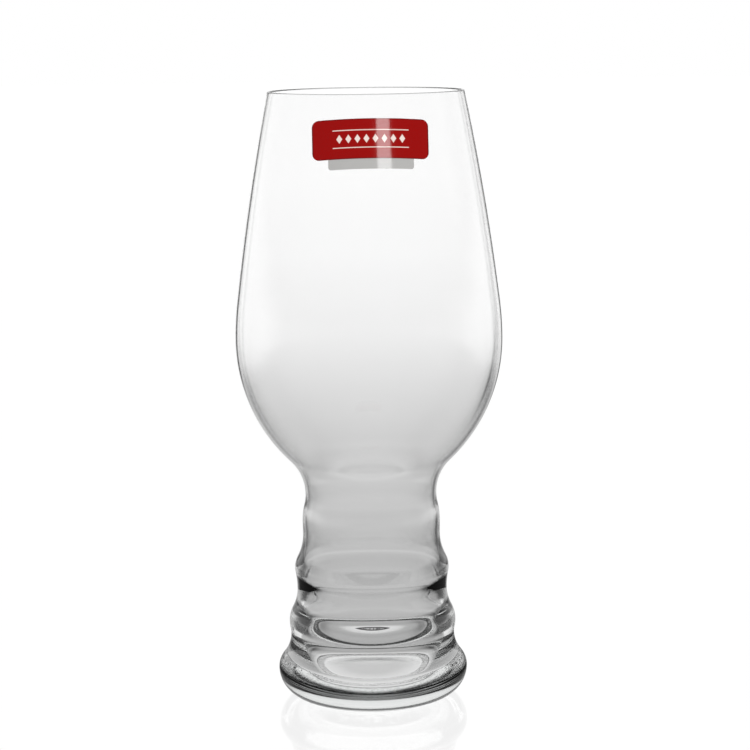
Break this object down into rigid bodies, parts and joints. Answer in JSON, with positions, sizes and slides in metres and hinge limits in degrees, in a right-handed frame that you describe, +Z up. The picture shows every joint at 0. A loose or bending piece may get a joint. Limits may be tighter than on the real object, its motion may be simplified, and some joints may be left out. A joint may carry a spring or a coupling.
{
  "type": "beer glass",
  "caption": "Tall tulip beer glass for pale ale: a thin bowl over a hollow rippled stem and a thick rounded foot, with a small film label under the rim.",
  "frame": {"origin": "on the table under the axis of the glass, at the level of the ring that it rests on", "axes": "+Z up along the axis of the glass, from the foot to the rim; the label faces -Y; +X is to the right of someone who reads the label"},
  "size_m": [0.0816, 0.0816, 0.187],
  "materials": {
    "glass": "polished",
    "label": "glossy"
  },
  "bodies": {
    "root": {"glass": "glass", "label": "label"}
  },
  "joints": []
}
